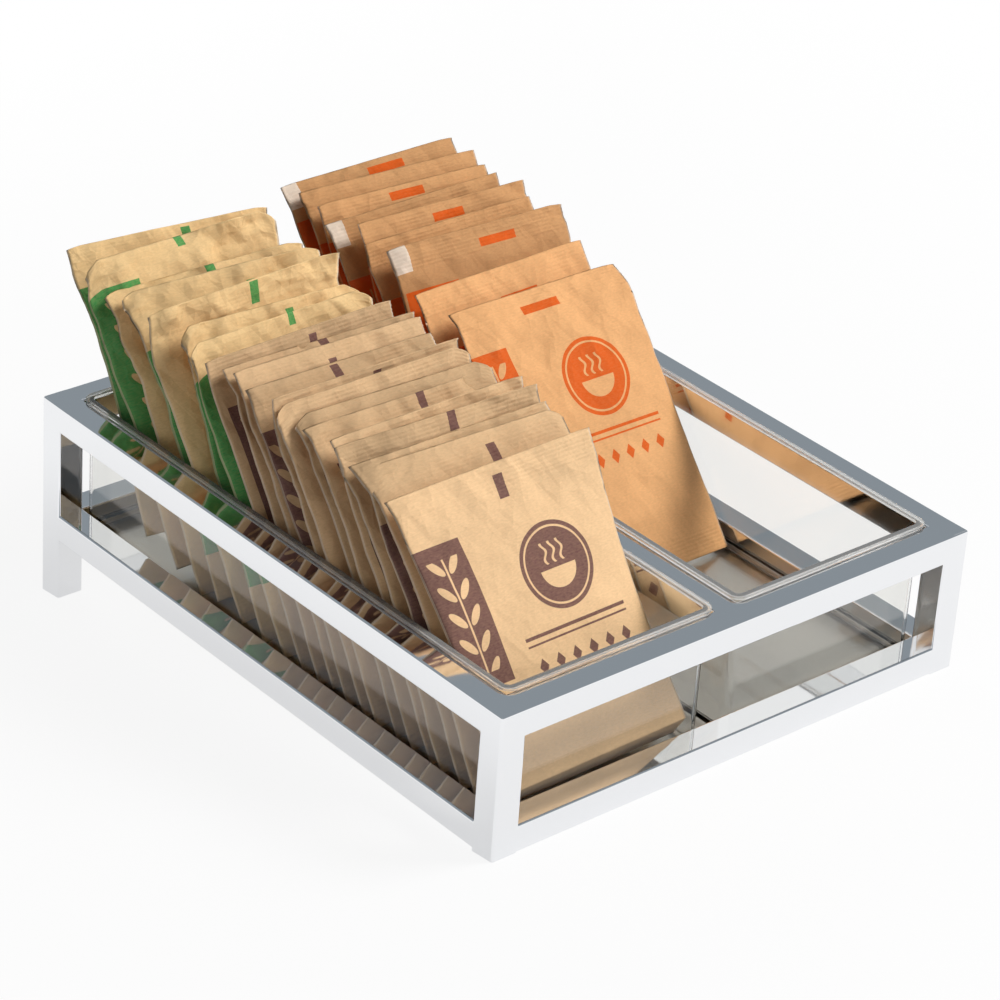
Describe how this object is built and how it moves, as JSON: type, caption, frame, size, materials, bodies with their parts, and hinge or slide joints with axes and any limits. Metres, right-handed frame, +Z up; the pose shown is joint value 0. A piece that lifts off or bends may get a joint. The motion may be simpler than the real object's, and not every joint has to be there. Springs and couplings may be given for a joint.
{
  "type": "oatmeal packet holder",
  "caption": "Low tilted countertop frame of polished square tube with two clear drop-in trays that hold paper oatmeal packets leaning back in rows.",
  "frame": {"origin": "on the table top, under the middle of the holder's overall box", "axes": "+X to the right of the person in front, +Y to the back, +Z up; the frame tilts down towards the front by about 5.6 degrees"},
  "size_m": [0.254, 0.3175, 0.1561],
  "materials": {
    "polished_tube": "polished",
    "sheet_steel": "satin",
    "foot_plastic": "matte",
    "clear_acrylic": "gloss",
    "green_packet": "matte",
    "plum_packet": "matte",
    "orange_packet": "matte"
  },
  "bodies": {
    "frame": {"front_left_post": "polished_tube", "front_right_post": "polished_tube", "back_left_leg": "polished_tube", "back_right_leg": "polished_tube", "front_top_rail": "polished_tube", "back_top_rail": "polished_tube", "left_top_rail": "polished_tube", "right_top_rail": "polished_tube", "centre_top_rail": "polished_tube", "front_bottom_rail": "polished_tube", "back_bottom_rail": "polished_tube", "left_bottom_rail": "polished_tube", "right_bottom_rail": "polished_tube", "floor_sheet": "sheet_steel", "front_left_foot": "foot_plastic", "front_right_foot": "foot_plastic", "back_left_foot": "foot_plastic", "back_right_foot": "foot_plastic"},
    "left_tray": {"left_tray": "clear_acrylic"},
    "right_tray": {"right_tray": "clear_acrylic"},
    "green_stack": {"green_packet_1": "green_packet", "green_packet_2": "green_packet", "green_packet_3": "green_packet", "green_packet_4": "green_packet", "green_packet_5": "green_packet", "green_packet_6": "green_packet", "green_packet_7": "green_packet"},
    "plum_stack": {"plum_packet_1": "plum_packet", "plum_packet_2": "plum_packet", "plum_packet_3": "plum_packet", "plum_packet_4": "plum_packet", "plum_packet_5": "plum_packet", "plum_packet_6": "plum_packet", "plum_packet_7": "plum_packet", "plum_packet_8": "plum_packet", "plum_packet_9": "plum_packet", "plum_packet_10": "plum_packet", "plum_packet_11": "plum_packet", "plum_packet_12": "plum_packet"},
    "plum_front_packet": {"plum_front_packet": "plum_packet"},
    "orange_stack": {"orange_packet_1": "orange_packet", "orange_packet_2": "orange_packet", "orange_packet_3": "orange_packet", "orange_packet_4": "orange_packet", "orange_packet_5": "orange_packet", "orange_packet_6": "orange_packet", "orange_packet_7": "orange_packet"},
    "orange_front_pair": {"orange_front_packet_1": "orange_packet", "orange_front_packet_2": "orange_packet"}
  },
  "joints": [
    {"name": "left_tray_lift", "type": "slide", "parent": "frame", "child": "left_tray", "axis": [0, -0.0969, 0.9953], "range_m": [0, 0.085]},
    {"name": "right_tray_lift", "type": "slide", "parent": "frame", "child": "right_tray", "axis": [0, -0.0969, 0.9953], "range_m": [0, 0.085]},
    {"name": "green_stack_draw", "type": "slide", "parent": "left_tray", "child": "green_stack", "axis": [0, 0.4685, 0.8835], "range_m": [0, 0.1]},
    {"name": "plum_stack_draw", "type": "slide", "parent": "left_tray", "child": "plum_stack", "axis": [0, 0.4685, 0.8835], "range_m": [0, 0.1]},
    {"name": "plum_packet_draw", "type": "slide", "parent": "left_tray", "child": "plum_front_packet", "axis": [0, 0.4685, 0.8835], "range_m": [0, 0.1]},
    {"name": "orange_stack_draw", "type": "slide", "parent": "right_tray", "child": "orange_stack", "axis": [0, 0.4685, 0.8835], "range_m": [0, 0.1]},
    {"name": "orange_pair_draw", "type": "slide", "parent": "right_tray", "child": "orange_front_pair", "axis": [0, 0.4685, 0.8835], "range_m": [0, 0.1]}
  ]
}
